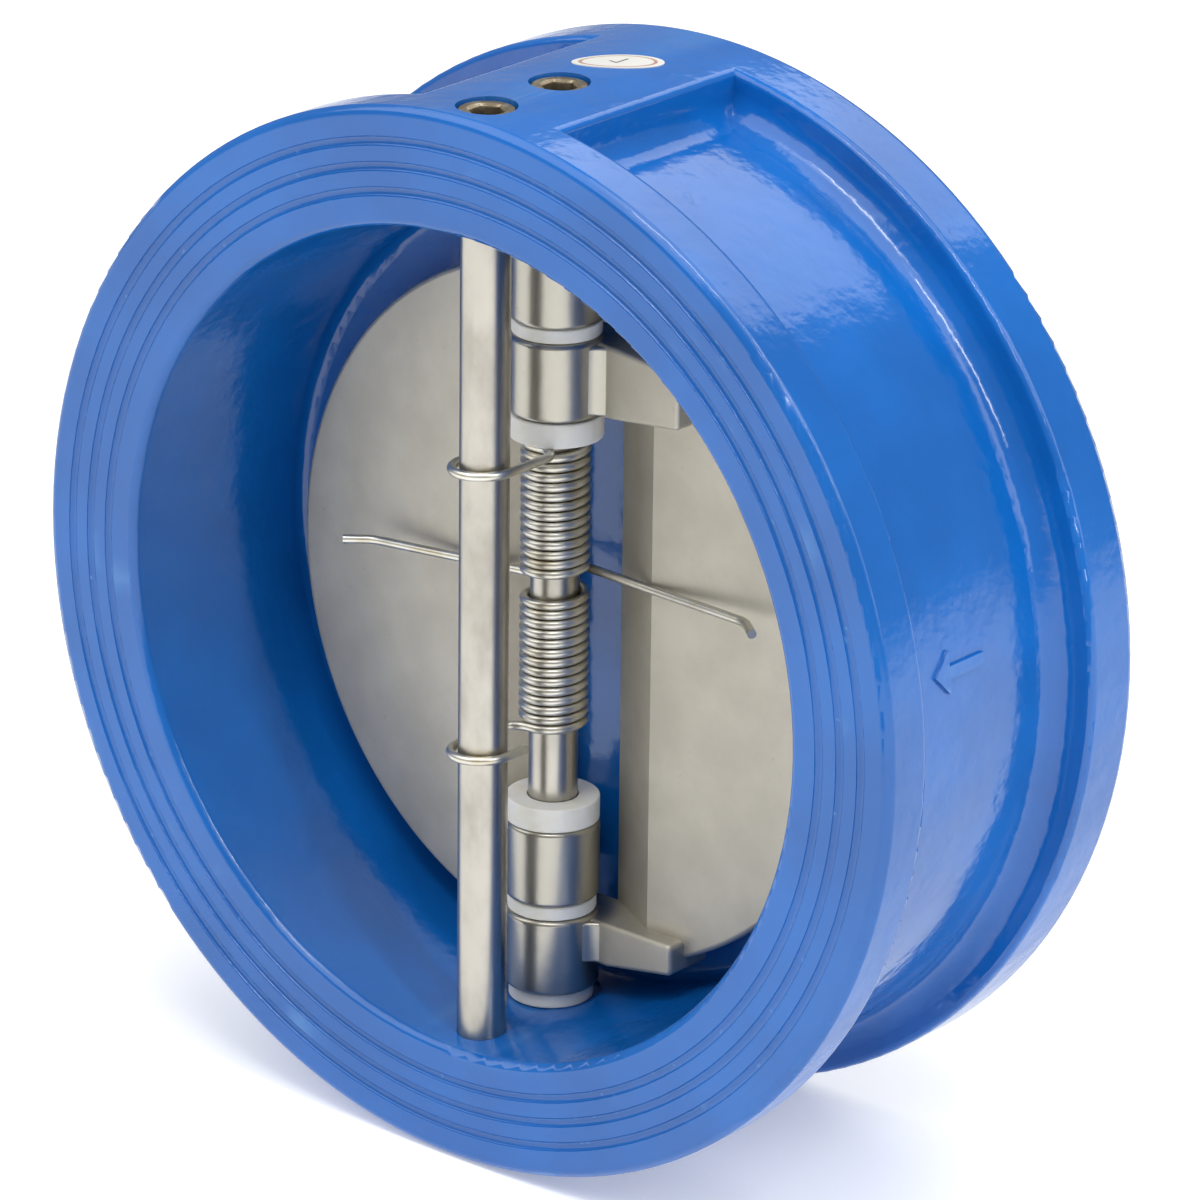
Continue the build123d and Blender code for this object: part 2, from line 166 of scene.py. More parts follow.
class ShaderGraph:
    """One material's node graph."""

    def __init__(self, name: str) -> None:
        """Starts a material that holds only its output node."""
        self.material = bpy.data.materials.new(name)
        self.material.use_nodes = True
        self.tree = self.material.node_tree
        self.tree.nodes.clear()

    def node(
        self,
        kind: str,
        settings: dict[str, Any] | None = None,
        inputs: dict[Any, Any] | None = None,
    ) -> bpy.types.Node:
        """Adds any node.

        Args:
            kind: The node's type.
            settings: Its properties, which are set before its sockets.
            inputs: Values or links of its sockets, by name or number.

        Returns:
            The new node.
        """
        node = self.tree.nodes.new(kind)
        for key, value in (settings or {}).items():
            setattr(node, key, value)
        for key, value in (inputs or {}).items():
            socket = node.inputs[key]
            if isinstance(value, Value):
                value = value.socket
            if isinstance(value, bpy.types.NodeSocket):
                self.tree.links.new(value, socket)
            elif isinstance(value, tuple) and socket.type == "RGBA":
                socket.default_value = (*value[:3], 1.0)
            else:
                socket.default_value = value
        return node

    def place(self) -> bpy.types.NodeSocket:
        """The point on the object, in its own coordinates."""
        return self.node("ShaderNodeTexCoord").outputs["Object"]

    def axes(self, vector: bpy.types.NodeSocket | None = None) -> tuple[Value, Value, Value]:
        """The three parts of a vector, by default of the point on the object."""
        split = self.node("ShaderNodeSeparateXYZ", None, {0: vector or self.place()})
        return tuple(Value(self, out) for out in split.outputs)

    def noise(
        self,
        size: float,
        detail: float = 3.0,
        roughness: float = 0.5,
        stretch: tuple[float, float, float] = (1.0, 1.0, 1.0),
        shift: float = 0.0,
    ) -> Value:
        """Smooth noise around 0.5.

        Args:
            size: How far apart its blotches are, in metres.
            detail: How many finer layers it has.
            roughness: How strong the finer layers are.
            stretch: How far it is drawn out along each axis.
            shift: Moves the pattern, so that two of one size differ.

        Returns:
            The noise.
        """
        mapping = self.node(
            "ShaderNodeMapping",
            None,
            {
                "Vector": self.place(),
                "Location": (shift, shift * 0.7, -shift),
                "Scale": tuple(1.0 / s for s in stretch),
            },
        )
        texture = self.node(
            "ShaderNodeTexNoise",
            None,
            {
                "Vector": mapping.outputs[0],
                "Scale": 1.0 / size,
                "Detail": detail,
                "Roughness": roughness,
            },
        )
        return Value(self, texture.outputs["Fac"])

    def mix(self, share: Any, first: Any, second: Any) -> bpy.types.NodeSocket:
        """A colour that goes from first to second as share goes from 0 to 1."""
        node = self.node(
            "ShaderNodeMix",
            {"data_type": "RGBA", "clamp_factor": True},
            {0: share, 6: first, 7: second},
        )
        return node.outputs[2]

    def pointiness(self) -> Value:
        """How convex the surface is, around 0.5."""
        return Value(self, self.node("ShaderNodeNewGeometry").outputs["Pointiness"])

    def bump(self, height: Value, strength: float = 1.0) -> bpy.types.NodeSocket:
        """A normal from a height in metres."""
        node = self.node(
            "ShaderNodeBump", None, {"Strength": strength, "Distance": 1.0, "Height": height}
        )
        return node.outputs["Normal"]

    def surface(self, **inputs: Any) -> bpy.types.Material:
        """Ends the graph in one Principled shader.

        Args:
            inputs: Its sockets by name, with _ for a space.

        Returns:
            The finished material.
        """
        named = {key.replace("_", " "): value for key, value in inputs.items()}
        shader = self.node("ShaderNodeBsdfPrincipled", None, named)
        self.node("ShaderNodeOutputMaterial", None, {"Surface": shader.outputs[0]})
        return self.material


# ---------------------------------------------------------------- finishes


@dataclass(frozen=True)
class EpoxyPaint:
    """Glossy fusion-bonded epoxy over a sand casting, smooth on the two machined faces."""

    outlet_y: float
    inlet_y: float
    deep: Colour = (0.003, 0.093, 0.36)
    fresh: Colour = (0.004, 0.12, 0.45)
    # Lighter colour on convex edges: partly thinner paint there, partly a painted edge highlight.
    thin_paint_and_edge_highlight: Colour = (0.06, 0.22, 0.52)
    wave_size: float = 12 * MM
    wave_height: float = 0.34 * MM
    lump_size: float = 5 * MM
    lump_height: float = 0.16 * MM
    peel_size: float = 2.0 * MM
    peel_height: float = 0.085 * MM
    grain_size: float = 0.7 * MM
    grain_height: float = 0.0035 * MM
    roughness: float = 0.15
    roughness_spread: float = 0.12
    film_size: float = 26 * MM
    settling_size: float = 5 * MM
    machined_band: tuple[float, float] = (0.3 * MM, 1.6 * MM)
    machined_texture: float = 0.2

    def build(self) -> bpy.types.Material:
        """Returns the paint's material."""
        graph = ShaderGraph("blue_epoxy_paint")
        flow = graph.noise(self.film_size, 3)
        settling = graph.noise(self.settling_size, 4, 0.6, shift=0.2)
        film = graph.mix(flow.step(0.3, 0.7), self.deep, self.fresh)
        # Convex edges lightened: partly thinner paint, partly a painted highlight along the edges.
        edge_paint_and_highlight = graph.pointiness().step(0.53, 0.62) * (settling * 0.5 + 0.35)
        colour = graph.mix(edge_paint_and_highlight, film, self.thin_paint_and_edge_highlight)
        _, y, _ = graph.axes()
        inward = (y - self.outlet_y).least(self.inlet_y - y)
        cast = inward.step(*self.machined_band) * (1 - self.machined_texture) + self.machined_texture
        height = (
            graph.noise(self.wave_size, 2, 0.4, shift=0.5) * self.wave_height
            + graph.noise(self.lump_size, 2, 0.5, shift=0.8) * self.lump_height
            + graph.noise(self.peel_size, 2, 0.5) * self.peel_height
        ) * cast + graph.noise(self.grain_size, 2, 0.6) * self.grain_height
        return graph.surface(
            Base_Color=colour,
            Roughness=settling * self.roughness_spread + (self.roughness - self.roughness_spread / 2),
            Normal=graph.bump(height),
            IOR=1.5,
            Coat_Weight=0.2,
            Coat_Roughness=0.06,
        )


@dataclass(frozen=True)
class BlastedCasting:
    """Bead-blasted stainless casting, dull and slightly mottled, with smoother lugs."""

    axis_y: float
    light: Colour = (0.55, 0.52, 0.44)
    dark: Colour = (0.47, 0.44, 0.37)
    # Dark colour for random speck stains and also for painted shade in the concave creases.
    stain_and_crease_shade: Colour = (0.22, 0.19, 0.15)
    lug: Colour = (0.47, 0.45, 0.39)
    lug_reach: float = 8.3 * MM
    arm_reach: float = 12 * MM
    roughness: float = 0.46
    lug_polish: float = 0.2
    cloud_size: float = 14 * MM
    speck_size: float = 1.2 * MM
    grain_size: float = 0.55 * MM
    grain_height: float = 0.012 * MM
    dimple_size: float = 3.5 * MM
    dimple_height: float = 0.05 * MM

    def build(self) -> bpy.types.Material:
        """Returns the casting's material."""
        graph = ShaderGraph("blasted_steel_casting")
        cloud = graph.noise(self.cloud_size, 4, 0.6)
        specks = graph.noise(self.speck_size, 3, 0.6, shift=0.3)
        x, y, _ = graph.axes()
        radius = (x * x + (y - self.axis_y) * (y - self.axis_y)).root()
        smooth = 1 - radius.step(self.lug_reach, self.arm_reach)
        colour = graph.mix(cloud.step(0.28, 0.72), self.dark, self.light)
        colour = graph.mix(smooth, colour, self.lug)
        # Random specks of stain, plus painted shade that darkens the concave creases and recesses.
        specks_and_crease_shade = specks.step(0.66, 0.8) * 0.3 + (0.5 - graph.pointiness()).step(0.02, 0.12) * 0.55
        colour = graph.mix(specks_and_crease_shade, colour, self.stain_and_crease_shade)
        height = (
            graph.noise(self.grain_size, 3, 0.7) * self.grain_height
            + graph.noise(self.dimple_size, 2, 0.5) * self.dimple_height
        )
        return graph.surface(
            Base_Color=colour,
            Metallic=smooth * 0.25 + 0.7,
            Roughness=cloud * 0.05 + specks * 0.08 + self.roughness - smooth * self.lug_polish,
            Normal=graph.bump(height),
        )


@dataclass(frozen=True)
class DrawnBar:
    """Drawn steel bar, with fine lines along it."""

    light: Colour = (0.5, 0.475, 0.42)
    dark: Colour = (0.38, 0.355, 0.31)
    line_size: float = 0.35 * MM
    line_height: float = 0.004 * MM

    def build(self) -> bpy.types.Material:
        """Returns the bar's material."""
        graph = ShaderGraph("drawn_pin_steel")
        lines = graph.noise(self.line_size, 2, 0.6, (1.0, 1.0, 60.0))
        smudge = graph.noise(7 * MM, 4, 0.6, (1.0, 1.0, 2.0))
        colour = graph.mix(smudge.step(0.35, 0.75), self.light, self.dark)
        return graph.surface(
            Base_Color=colour,
            Metallic=1.0,
            Roughness=smudge * 0.16 + lines * 0.08 + 0.2,
            Normal=graph.bump(
                lines * self.line_height + graph.noise(2.5 * MM, 2) * (0.012 * MM)
            ),
        )


@dataclass(frozen=True)
class SpringWire:
    """Drawn spring wire, bright with a faint straw tint."""

    light: Colour = (0.7, 0.68, 0.61)
    straw: Colour = (0.56, 0.5, 0.36)

    def build(self) -> bpy.types.Material:
        """Returns the wire's material."""
        graph = ShaderGraph("bright_spring_wire")
        tint = graph.noise(6 * MM, 3, 0.6)
        fine = graph.noise(0.3 * MM, 3, 0.6)
        return graph.surface(
            Base_Color=graph.mix(tint.step(0.4, 0.8), self.light, self.straw),
            Metallic=1.0,
            Roughness=fine * 0.14 + 0.28,
            Normal=graph.bump(fine * (0.006 * MM)),
        )


@dataclass(frozen=True)
class Fluoropolymer:
    """White machined fluoropolymer, faintly waxy, with turning lines round the hinge axis."""

    axis_y: float
    white: Colour = (0.95, 0.935, 0.87)
    cream: Colour = (0.88, 0.84, 0.7)
    turning_pitch: float = 0.16 * MM
    turning_height: float = 0.004 * MM

    def build(self) -> bpy.types.Material:
        """Returns the polymer's material."""
        graph = ShaderGraph("white_bearing_polymer")
        x, y, z = graph.axes()
        radius = (x * x + (y - self.axis_y) * (y - self.axis_y)).root()
        turning = ((radius + z) * (2 * math.pi / self.turning_pitch)).sine()
        handling = graph.noise(4 * MM, 4, 0.6)
        return graph.surface(
            Base_Color=graph.mix(handling.step(0.35, 0.8), self.white, self.cream),
            Roughness=handling * 0.16 + 0.36,
            Normal=graph.bump(
                turning * self.turning_height + graph.noise(0.9 * MM, 3) * (0.01 * MM)
            ),
            Subsurface_Weight=0.25,
            Subsurface_Radius=(1.0, 1.0, 0.9),
            Subsurface_Scale=0.6 * MM,
        )


@dataclass(frozen=True)
class DullPlug:
    """Dulled yellow plating, with painted shade that darkens the inside of the hexagon socket."""

    top_z: float
    centre_y: float
    plating: Colour = (0.26, 0.21, 0.14)
    worn: Colour = (0.42, 0.37, 0.27)
    # black also paints the shade deep inside the hexagon socket, and darkens a ring at the rim.
    black: Colour = (0.02, 0.017, 0.013)

    def build(self) -> bpy.types.Material:
        """Returns the plug's material."""
        graph = ShaderGraph("dull_plug_plating")
        x, y, z = graph.axes()
        radius = (x * x + (y - self.centre_y) * (y - self.centre_y)).root()
        cloud = graph.noise(1.6 * MM, 4, 0.65)
        # Painted shade: darker and less metallic the deeper inside the hexagon socket.
        depth = (self.top_z - z).step(0.25 * MM, 2.2 * MM)
        socket_shade = depth * (1 - radius.step(3.1 * MM, 3.4 * MM))
        outside = radius.step(4.25 * MM, 4.45 * MM) * 0.85
        colour = graph.mix(cloud.step(0.4, 0.7), self.plating, self.worn)
        colour = graph.mix((socket_shade + outside).least(1.0) * 0.9, colour, self.black)
        return graph.surface(
            Base_Color=colour,
            Metallic=0.9 - socket_shade * 0.5,
            Roughness=cloud * 0.2 + 0.32,
            Normal=graph.bump(graph.noise(0.4 * MM, 3, 0.6) * (0.012 * MM)),
        )


@dataclass(frozen=True)
class SeatRubber:
    """Black moulded rubber."""

    black: Colour = (0.016, 0.016, 0.017)
    bloom: Colour = (0.05, 0.05, 0.05)

    def build(self) -> bpy.types.Material:
        """Returns the rubber's material."""
        graph = ShaderGraph("black_seat_rubber")
        bloom = graph.noise(3 * MM, 4, 0.6)
        return graph.surface(
            Base_Color=graph.mix(bloom.step(0.45, 0.8), self.black, self.bloom),
            Roughness=bloom * 0.2 + 0.5,
            Normal=graph.bump(graph.noise(0.5 * MM, 3, 0.6) * (0.01 * MM)),
        )


@dataclass(frozen=True)
class LabelFilm:
    """White film with a printed outline and a tick, for an inspector's oval sticker."""

    centre_y: float
    half_length: float
    half_width: float
    turn: float
    paper: Colour = (0.66, 0.65, 0.61)
    line: Colour = (0.3, 0.07, 0.02)
    ink: Colour = (0.02, 0.02, 0.022)

    def _stroke(self, along: Value, across: Value, ends: Sequence[float], width: float) -> Value:
        """A straight printed stroke.

        Args:
            along: Distance along the label.
            across: Distance across the label.
            ends: Its two ends, as along and across of each.
            width: Half the stroke's width.

        Returns:
            1 on the stroke and 0 off it.
        """
        x0, y0, x1, y1 = ends
        dx, dy = x1 - x0, y1 - y0
        span = dx * dx + dy * dy
        share = ((along - x0) * (dx / span) + (across - y0) * (dy / span)).most(0.0).least(1.0)
        off_x = along - x0 - share * dx
        off_y = across - y0 - share * dy
        return 1 - (off_x * off_x + off_y * off_y).root().step(width * 0.8, width * 1.2)

    def build(self) -> bpy.types.Material:
        """Returns the film's material."""
        graph = ShaderGraph("printed_label_film")
        x, y, _ = graph.axes()
        y = y - self.centre_y
        c, s = math.cos(self.turn), math.sin(self.turn)
        along = x * c + y * s
        across = y * c - x * s
        reach = (
            (along / self.half_length) ** 2 + (across / self.half_width) ** 2
        ).root()
        outline = reach.step(0.76, 0.79) * (1 - reach.step(0.84, 0.87))
        tick = self._stroke(along, across, (-1.2 * MM, 0.1 * MM, -0.3 * MM, -0.9 * MM), 0.22 * MM)
        tick = tick.most(
            self._stroke(along, across, (-0.3 * MM, -0.9 * MM, 1.5 * MM, 1.1 * MM), 0.22 * MM)
        )
        wear = graph.noise(2 * MM, 3)
        colour = graph.mix(outline * 0.75, self.paper, self.line)
        colour = graph.mix(tick * 0.8, colour, self.ink)
        return graph.surface(
            Base_Color=colour,
            Roughness=wear * 0.15 + 0.28,
            Normal=graph.bump(wear * (0.02 * MM)),
            Coat_Weight=0.4,
        )


@dataclass(frozen=True)
class PaleFloor:
    """Matt pale floor of the studio."""

    colour: Colour = (0.9, 0.9, 0.9)
    glow: float = 0.3

    def build(self) -> bpy.types.Material:
        """Returns the floor's material."""
        graph = ShaderGraph("pale_floor")
        return graph.surface(
            Base_Color=self.colour,
            Roughness=0.9,
            Emission_Color=(1.0, 1.0, 1.0),
            Emission_Strength=self.glow,
        )


# ---------------------------------------------------------------- geometry graphs


class GeometryGraph:
    """One Geometry Nodes tree with named inputs."""

    def __init__(self, name: str, inputs: Sequence[tuple[str, str]]) -> None:
        """Starts a tree with a geometry input, the named inputs and a geometry output.

        Args:
            name: The tree's name.
            inputs: Each input's name and socket type.
        """
        self.tree = bpy.data.node_groups.new(name, "GeometryNodeTree")
        interface = self.tree.interface
        interface.new_socket("Geometry", in_out="INPUT", socket_type="NodeSocketGeometry")
        for label, kind in inputs:
            interface.new_socket(label, in_out="INPUT", socket_type=kind)
        interface.new_socket("Geometry", in_out="OUTPUT", socket_type="NodeSocketGeometry")
        self.entry = self.node("NodeGroupInput")

    def node(
        self,
        kind: str,
        settings: dict[str, Any] | None = None,
        inputs: dict[Any, Any] | None = None,
    ) -> bpy.types.Node:
        """Adds any node, with its properties set before its sockets."""
        node = self.tree.nodes.new(kind)
        for key, value in (settings or {}).items():
            setattr(node, key, value)
        for key, value in (inputs or {}).items():
            if isinstance(value, bpy.types.NodeSocket):
                self.tree.links.new(value, node.inputs[key])
            else:
                node.inputs[key].default_value = value
        return node

    def given(self, label: str) -> bpy.types.NodeSocket:
        """The named input's socket."""
        return self.entry.outputs[label]

    def end(self, geometry: bpy.types.NodeSocket, material: bpy.types.NodeSocket) -> None:
        """Closes the tree: smooth shading, real geometry and its material."""
        smooth = self.node("GeometryNodeSetShadeSmooth", None, {"Geometry": geometry})
        real = self.node("GeometryNodeRealizeInstances", None, {0: smooth.outputs[0]})
        dressed = self.node(
            "GeometryNodeSetMaterial", None, {"Geometry": real.outputs[0], "Material": material}
        )
        self.node("NodeGroupOutput", None, {0: dressed.outputs[0]})

    def make(
        self, source: bpy.types.Object, name: str, values: dict[str, Any]
    ) -> bpy.types.Object:
        """Runs the tree on an object and keeps the result as a plain mesh.

        Args:
            source: The object that the tree starts from, which is removed.
            name: The new object's name.
            values: The named inputs.

        Returns:
            The new mesh object.
        """
        modifier = source.modifiers.new("build", "NODES")
        modifier.node_group = self.tree
        for item in self.tree.interface.items_tree:
            if item.item_type == "SOCKET" and item.in_out == "INPUT" and item.name in values:
                modifier[item.identifier] = values[item.name]
        bpy.context.scene.collection.objects.link(source)
        evaluated = source.evaluated_get(bpy.context.evaluated_depsgraph_get())
        mesh = bpy.data.meshes.new_from_object(evaluated)
        source.modifiers.remove(modifier)
        made = bpy.data.objects.new(name, mesh)
        bpy.context.scene.collection.objects.link(made)
        bpy.data.objects.remove(source)
        return made


def path_object(name: str, points: Iterable[Vector]) -> bpy.types.Object:
    """A curve object of one straight-segment spline, not yet linked to the scene."""
    points = list(points)
    curve = bpy.data.curves.new(name, "CURVE")
    curve.dimensions = "3D"
    spline = curve.splines.new("POLY")
    spline.points.add(len(points) - 1)
    for item, point in zip(spline.points, points):
        item.co = (*point, 1.0)
    return bpy.data.objects.new(name, curve)


def dress(node: bpy.types.Object, material: bpy.types.Material) -> None:
    """Gives a CAD node its finish."""
    node.data.materials.clear()
    node.data.materials.append(material)


# ---------------------------------------------------------------- sub-assemblies


class Side(Enum):
    """The two plates and their springs, by the sign of X."""

    LEFT = -1
    RIGHT = 1


@dataclass
class BodyCasting:
    """The ring body, its seat seals and its label."""

    nodes: dict[str, bpy.types.Object]
    label_turn: float = math.radians(41)
    label_half_length: float = 7.3 * MM
    label_half_width: float = 3.6 * MM

    def build(self) -> None:
        """Dresses the casting, the seals and the label."""
        low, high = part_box("valve_body")
        dress(self.nodes["valve_body"], EpoxyPaint(low.y, high.y).build())
        rubber = SeatRubber().build()
        for name in ("left_seat_seal", "right_seat_seal"):
            dress(self.nodes[name], rubber)
        low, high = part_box("inspection_label")
        film = LabelFilm(
            (low.y + high.y) / 2, self.label_half_length, self.label_half_width, self.label_turn
        )
        dress(self.nodes["inspection_label"], film.build())
        log.info("body casting: paint, two seals, label")


@dataclass
class PlateSet:
    """The two half-disc plates."""

    nodes: dict[str, bpy.types.Object]

    def build(self) -> None:
        """Dresses both plates."""
        low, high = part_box("hinge_pin")
        steel = BlastedCasting((low.y + high.y) / 2).build()
        for name in ("left_plate", "right_plate"):
            dress(self.nodes[name], steel)
        log.info("plates: two blasted castings")


@dataclass
class PinStack:
    """The two pins and the bearing washers on the hinge pin."""

    nodes: dict[str, bpy.types.Object]
    washers: tuple[str, ...] = (
        "bottom_end_washer",
        "lower_lug_washer",
        "lower_spring_washer",
        "upper_spring_washer",
        "upper_lug_washer",
        "top_end_washer",
    )

    def build(self) -> None:
        """Dresses the pins and washers."""
        steel = DrawnBar().build()
        for name in ("hinge_pin", "stop_pin"):
            dress(self.nodes[name], steel)
        low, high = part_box("hinge_pin")
        polymer = Fluoropolymer((low.y + high.y) / 2).build()
        for name in self.washers:
            dress(self.nodes[name], polymer)
        log.info("pins: two drawn bars, %d washers", len(self.washers))


@dataclass
class TorsionSpring:
    """One torsion spring: a hook round the stop pin, a coil on the hinge pin and a leg."""

    side: Side
    node: str
    plate: str
    wire_radius: float = 0.75 * MM
    coil_radius: float = 4.95 * MM
    coil_turns: int = 13
    coil_pitch: float = 1.635 * MM
    coil_bottom_z: float = -19.25 * MM
    turn_over_z: float = 4.6 * MM
    leg_slope: float = math.radians(7)
    leg_reach: float = 35.5 * MM
    leg_fall: float = 0.03
    settle: float = 4 * MM
    tip: tuple[float, float] = (5.2 * MM, 3.3 * MM)
    tip_bend: float = 2.5 * MM
    hook_radius: float = 5.2 * MM
    hook_end: float = 4 * MM
    hook_bend: float = 4 * MM
    step: float = 0.28 * MM
    profile_sides: int = 20
    waviness: float = 0.008 * MM
    wave_scale: float = 160.0
    tip_points: int = 6
    bend_start_share: float = 0.5
    bend_length: float = 6 * MM

    def _arc(self, centre: Vector, radius: float, start: float, end: float) -> list[Vector]:
        """Points on an arc in the plane of the hook, without its first point."""
        count = max(2, round(abs(end - start) * radius / self.step))
        angles = [start + (end - start) * (i + 1) / count for i in range(count)]
        return [centre + Vector((math.cos(a), math.sin(a), 0)) * radius for a in angles]

    def _run(self, start: Vector, end: Vector) -> list[Vector]:
        """Points on a straight run, without its first point."""
        count = max(1, round((end - start).length / self.step))
        return [start.lerp(end, (i + 1) / count) for i in range(count)]

    def _path(self, hinge_y: float, stop_y: float) -> list[Vector]:
        """The lower spring's centre line, from the free end of its hook to the tip of its leg."""
        climb = self.coil_pitch / (2 * math.pi * self.coil_radius)
        front = Vector((0, hinge_y - self.coil_radius, 0))
        hook = [Vector((self.hook_radius, stop_y + self.hook_end, 0))]
        hook += self._run(hook[-1], Vector((self.hook_radius, stop_y, 0)))
        hook += self._arc(Vector((0, stop_y, 0)), self.hook_radius, 0, -math.pi)
        bend = Vector((self.hook_bend - self.hook_radius, front.y - self.hook_bend, 0))
        hook += self._run(hook[-1], Vector((-self.hook_radius, bend.y, 0)))
        hook += self._arc(bend, self.hook_bend, math.pi, math.pi / 2)
        hook += self._run(hook[-1], front)
        path = [p + Vector((0, 0, self.coil_bottom_z + p.x * climb)) for p in hook]

        sweep = self.coil_turns * 2 * math.pi + math.pi + self.leg_slope
        count = round(sweep * self.coil_radius / self.step)
        for i in range(1, count + 1):
            turned = sweep * i / count
            angle = turned - math.pi / 2
            path.append(
                Vector(
                    (
                        self.coil_radius * math.cos(angle),
                        hinge_y + self.coil_radius * math.sin(angle),
                        self.coil_bottom_z + turned * self.coil_radius * climb,
                    )
                )
            )

        flat = Vector((-math.cos(self.leg_slope), -math.sin(self.leg_slope), 0))
        outwards = Vector((-flat.y, flat.x, 0))
        leaving = path[-1].copy()
        falls = Vector((0, 0, -self.leg_fall))
        climbs = Vector((0, 0, climb))
        for i in range(1, round(self.settle / self.step) + 1):
            share = i * self.step / self.settle
            rise = climbs * (share - share * share / 2) + falls * (share * share / 2)
            path.append(leaving + flat * (i * self.step) + rise * self.settle)
        leg_end = path[-1] + (flat + falls) * (self.leg_reach - self.tip_bend)
        path += self._run(path[-1], leg_end)
        lean = math.atan2(self.tip[1], self.tip[0])
        for i in range(self.tip_points):
            heading = lean * (i + 0.5) / self.tip_points
            forward = flat * math.cos(heading) + outwards * math.sin(heading)
            path.append(path[-1] + forward * (lean * self.tip_bend * 2 / self.tip_points))
        forward = flat * math.cos(lean) + outwards * math.sin(lean)
        path += self._run(path[-1], path[-1] + forward * (math.hypot(*self.tip) - self.tip_bend))
        return path

    def _graph(self) -> GeometryGraph:
        """The tree that draws a wire of round section along a path."""
        graph = GeometryGraph(
            "spring_wire_on_path",
            (
                ("Wire Radius", "NodeSocketFloat"),
                ("Sides", "NodeSocketInt"),
                ("Waviness", "NodeSocketFloat"),
                ("Seed", "NodeSocketFloat"),
                ("Material", "NodeSocketMaterial"),
            ),
        )
        wobble = graph.node(
            "ShaderNodeTexNoise",
            {"noise_dimensions": "4D"},
            {"W": graph.given("Seed"), "Scale": self.wave_scale, "Detail": 0.0},
        )
        centred = graph.node(
            "ShaderNodeVectorMath",
            {"operation": "SUBTRACT"},
            {0: wobble.outputs["Color"], 1: (0.5, 0.5, 0.5)},
        )
        offset = graph.node(
            "ShaderNodeVectorMath",
            {"operation": "SCALE"},
            {0: centred.outputs[0], "Scale": graph.given("Waviness")},
        )
        moved = graph.node(
            "GeometryNodeSetPosition",
            None,
            {"Geometry": graph.given("Geometry"), "Offset": offset.outputs[0]},
        )
        section = graph.node(
            "GeometryNodeCurvePrimitiveCircle",
            None,
            {"Resolution": graph.given("Sides"), "Radius": graph.given("Wire Radius")},
        )
        wire = graph.node(
            "GeometryNodeCurveToMesh",
            None,
            {"Curve": moved.outputs[0], "Profile Curve": section.outputs[0], "Fill Caps": True},
        )
        graph.end(wire.outputs[0], graph.given("Material"))
        return graph

    def build(self, material: bpy.types.Material) -> bpy.types.Object:
        """Makes the spring in place of its plain solid.

        Args:
            material: The wire's finish.

        Returns:
            The spring's object.
        """
        hinge_low, hinge_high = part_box("hinge_pin")
        stop_low, stop_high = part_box("stop_pin")
        hinge_y = (hinge_low.y + hinge_high.y) / 2
        path = self._path(hinge_y, (stop_low.y + stop_high.y) / 2)
        if self.side is Side.RIGHT:
            path = [Vector((-p.x, p.y, 2 * self.turn_over_z - p.z)) for p in path]
        made = self._graph().make(
            path_object(self.node + "_path", path),
            self.node + "_wire",
            {
                "Wire Radius": self.wire_radius,
                "Sides": self.profile_sides,
                "Waviness": self.waviness,
                "Seed": float(self.side.value),
                "Material": material,
            },
        )
        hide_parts(self.node)
        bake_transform(made)
        log.info("%s: %d triangles", made.name, sum(len(p.vertices) - 2 for p in made.data.polygons))
        return made


